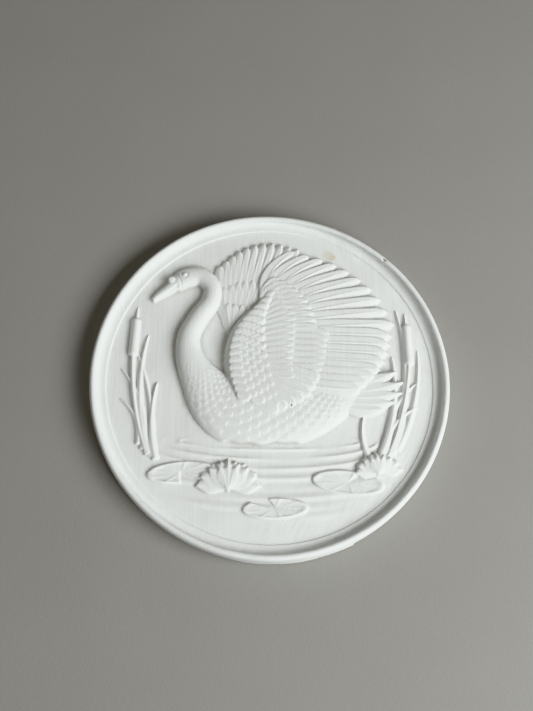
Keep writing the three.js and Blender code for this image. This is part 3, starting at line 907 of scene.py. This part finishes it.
def thinned(context, mesh, triangles):
    """Copy of a mesh with fewer triangles, most of them where the shape bends."""
    full = bpy.data.objects.new("full_casting", mesh)
    context.scene.collection.objects.link(full)
    thin = full.modifiers.new("thin", "DECIMATE")
    mesh.calc_loop_triangles()
    thin.ratio = min(1.0, triangles / len(mesh.loop_triangles))
    thin.use_collapse_triangulate = True
    evaluated = full.evaluated_get(context.evaluated_depsgraph_get())
    casting = bpy.data.meshes.new_from_object(evaluated)
    bpy.data.objects.remove(full)
    return casting


def note_recesses(casting, carving, scale):
    """Writes how deep each point of the carving lies under what is round it: 0 is open and 1 is deep."""
    reaches = (1.2, 3.5)
    edge = 134
    behind_field = -6
    places = np.empty(len(casting.vertices) * 3)
    casting.vertices.foreach_get("co", places)
    places = places.reshape(-1, 3) / MM
    # how deep each place lies, which the paint uses for painted shade and grime in the hollows
    hollow = sum(
        np.clip((carving.blurred(carving.heights, reach) - carving.heights) / (0.9 * reach), 0, 1)
        for reach in reaches) / len(reaches)
    recess = carving.sample(hollow, places[:, 0] / scale, places[:, 2] / scale)
    front = (places[:, 1] < behind_field) & (np.hypot(places[:, 0], places[:, 2]) < edge * scale)
    attribute = casting.attributes.new("recess", "FLOAT", "POINT")
    attribute.data.foreach_set("value", np.where(front, recess, 0))


class PLAQUE_OT_cast(bpy.types.Operator):
    """Carve and cast the plaque, in place of its plain model"""
    bl_idname = "plaque.cast"
    bl_label = "Cast the Plaque"

    def execute(self, context):
        scene = context.scene
        detail = scene.plaque_detail
        mesh, carving, scale = casting_mesh(scene.plaque_sizes, detail)
        casting = thinned(context, mesh, detail.triangles)
        casting.name = "relief_plaque"
        casting.shade_smooth()
        note_recesses(casting, carving, scale)
        plaque = bpy.data.objects.new("relief_plaque", casting)
        scene.collection.objects.link(plaque)
        casting.materials.append(plaster_finish(scene.plaque_finish))
        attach(plaque, "root")
        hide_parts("plaque")
        return {"FINISHED"}


class StageSettings(bpy.types.PropertyGroup):
    """Backdrop, lights and camera."""
    backdrop: colour_setting("Backdrop", "Pale wall behind the plaque", (0.38, 0.37, 0.35, 1))
    key_power: power_setting("Window Light", "Power of the soft key", 37.5)
    key_width: length_setting("Window Width", "Of the soft key", 1.6)
    key_height: length_setting("Window Height", "Of the soft key", 0.8)
    key_distance: length_setting("Window Distance", "From the plaque", 1.7)
    key_azimuth: angle_setting("Window Direction", "From the right, towards the top", -32)
    key_elevation: angle_setting("Window Elevation", "Out from the plaque's plane", 36)
    room_power: power_setting("Room Light", "Power of the broad light off the room", 7.5)
    room_size: length_setting("Room Light Size", "Across the broad light", 1.7)
    room_distance: length_setting("Room Light Distance", "From the plaque", 2.0)
    room_azimuth: angle_setting("Room Light Direction", "From the right, towards the top", 135)
    room_elevation: angle_setting("Room Light Elevation", "Out from the plaque's plane", 60)
    back_power: power_setting("Back Light", "Power of the light behind the wall, for looks at the back", 34.0)
    back_size: length_setting("Back Light Size", "Across the back light", 1.4)
    back_distance: length_setting("Back Light Distance", "From the plaque", 1.6)
    back_azimuth: angle_setting("Back Light Direction", "From the right, towards the top", 125)
    back_elevation: angle_setting(
        "Back Light Elevation", "Out from the plaque's plane, and below zero behind it", -50)
    sky: FloatProperty(name="Sky", description="Strength of the light from all round", default=0.06)
    camera_distance: length_setting("Camera Distance", "From the middle of the back", 0.7628)
    camera_azimuth: angle_setting("Camera Direction", "To the right of the middle", -1.55)
    camera_elevation: angle_setting("Camera Elevation", "Above the middle", -16.86)
    look_azimuth: angle_setting("Look Direction", "To the right of straight on", 1.34)
    look_elevation: angle_setting("Look Elevation", "Above straight on", 18.6)
    lens: FloatProperty(name="Lens", description="Focal length on a 36 mm frame", default=45.57)


def backdrop(settings):
    """Wall with a round opening that the plaque covers, so its back shows from behind."""
    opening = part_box("plaque")[1][0] * 0.95
    radii = (opening, 0.3, 0.9, 2.4)
    sides = 128
    behind = 0.0004
    turns = [2 * math.pi * i / sides for i in range(sides)]
    places = [(r * math.cos(t), behind, r * math.sin(t)) for r in radii for t in turns]
    faces = []
    for row in range(len(radii) - 1):
        for i in range(sides):
            near, far = row * sides, (row + 1) * sides
            after = (i + 1) % sides
            faces.append((near + i, far + i, far + after, near + after))
    mesh = bpy.data.meshes.new("backdrop")
    mesh.from_pydata(places, [], faces)
    wall = bpy.data.objects.new("backdrop", mesh)
    f = Finish("backdrop")
    place = f.place()
    fine = f.noise(place, 0.002, 3.0)
    broad = f.noise(place, 0.09, 3.0)
    tone = tuple(settings.backdrop)
    colour = f.mixed(broad * 0.6 + fine * 0.4, tone, tuple(c * 0.88 for c in tone[:3]) + (1,))
    mesh.materials.append(f.surface(colour, 0.85, fine, 0.15 * MM, 0.3))
    return wall


COOL_WHITE = (0.96, 0.985, 0.98)
WARM_WHITE = (1.0, 0.965, 0.89)


def ahead(azimuth, elevation):
    """Direction of a look that turns right by azimuth and up by elevation from straight on."""
    flat = math.cos(elevation)
    return Vector((math.sin(azimuth) * flat, math.cos(azimuth) * flat, math.sin(elevation)))


def soft_light(name, colour, power, width, height, azimuth, elevation, distance):
    """Area light turned to the plaque's middle, with its width along the wall. Its azimuth goes from the
    right towards the top, and its elevation out from the wall."""
    flat = math.cos(elevation)
    place = Vector((math.cos(azimuth) * flat, -math.sin(elevation), math.sin(azimuth) * flat)) * distance
    data = bpy.data.lights.new(name, "AREA")
    data.shape = "RECTANGLE"
    data.size = width
    data.size_y = height
    data.energy = power
    data.color = colour
    light = bpy.data.objects.new(name, data)
    light.location = place
    forward = (-place).normalized()
    across = forward.cross(Vector((0, 1, 0))).normalized()
    light.matrix_world = Matrix((across, across.cross(forward), -forward)).transposed().to_4x4()
    light.location = place
    return light


class PLAQUE_OT_stage(bpy.types.Operator):
    """Set the backdrop, the lights and the camera"""
    bl_idname = "plaque.stage"
    bl_label = "Set the Stage"

    def execute(self, context):
        scene, settings = context.scene, context.scene.plaque_stage
        wall = backdrop(settings)
        data = bpy.data.cameras.new("camera")
        data.sensor_width = 36.0
        data.lens = settings.lens
        camera = bpy.data.objects.new("camera", data)
        away = ahead(-settings.camera_azimuth, -settings.camera_elevation)
        camera.location = -settings.camera_distance * away
        look = ahead(settings.look_azimuth, settings.look_elevation)
        camera.rotation_euler = look.to_track_quat("-Z", "Y").to_euler()
        window = soft_light(
            "window", COOL_WHITE, settings.key_power, settings.key_width, settings.key_height,
            settings.key_azimuth, settings.key_elevation, settings.key_distance)
        room = soft_light(
            "room", WARM_WHITE, settings.room_power, settings.room_size, settings.room_size,
            settings.room_azimuth, settings.room_elevation, settings.room_distance)
        back = soft_light(
            "back", COOL_WHITE, settings.back_power, settings.back_size, settings.back_size,
            settings.back_azimuth, settings.back_elevation, settings.back_distance)
        for item in (wall, camera, window, room, back):
            scene.collection.objects.link(item)
        scene.camera = camera
        world = bpy.data.worlds.new("room")
        world.use_nodes = True
        sky = world.node_tree.nodes["Background"]
        sky.inputs["Color"].default_value = (*WARM_WHITE, 1)
        sky.inputs["Strength"].default_value = settings.sky
        scene.world = world
        # whites stay white, as a camera's own tone curve keeps them
        scene.view_settings.view_transform = "Khronos PBR Neutral"
        return {"FINISHED"}


class PLAQUE_PT_panel(bpy.types.Panel):
    """Lists the plaque's sizes, finish and steps"""
    bl_label = "Relief Wall Plaque"
    bl_idname = "PLAQUE_PT_panel"
    bl_space_type = "VIEW_3D"
    bl_region_type = "UI"
    bl_category = "Plaque"

    def draw(self, context):
        layout = self.layout
        scene = context.scene
        for operator in (PLAQUE_OT_stage, PLAQUE_OT_cast):
            layout.operator(operator.bl_idname)
        for title, group in (
                ("Sizes", scene.plaque_sizes), ("Detail", scene.plaque_detail),
                ("Finish", scene.plaque_finish), ("Stage", scene.plaque_stage)):
            box = layout.box()
            box.label(text=title)
            for name in group.__annotations__:
                box.prop(group, name)


GROUPS = {
    "plaque_sizes": PlaqueSizes, "plaque_detail": CastingDetail, "plaque_finish": PlasterFinish,
    "plaque_stage": StageSettings,
}
CLASSES = (*GROUPS.values(), PLAQUE_OT_stage, PLAQUE_OT_cast, PLAQUE_PT_panel)


def register():
    for kind in CLASSES:
        bpy.utils.register_class(kind)
    for name, group in GROUPS.items():
        setattr(bpy.types.Scene, name, PointerProperty(type=group))


def unregister():
    for name in GROUPS:
        delattr(bpy.types.Scene, name)
    for kind in reversed(CLASSES):
        bpy.utils.unregister_class(kind)


def main():
    register()
    bpy.ops.plaque.stage()
    bpy.ops.plaque.cast()


if __name__ == "__main__":
    main()
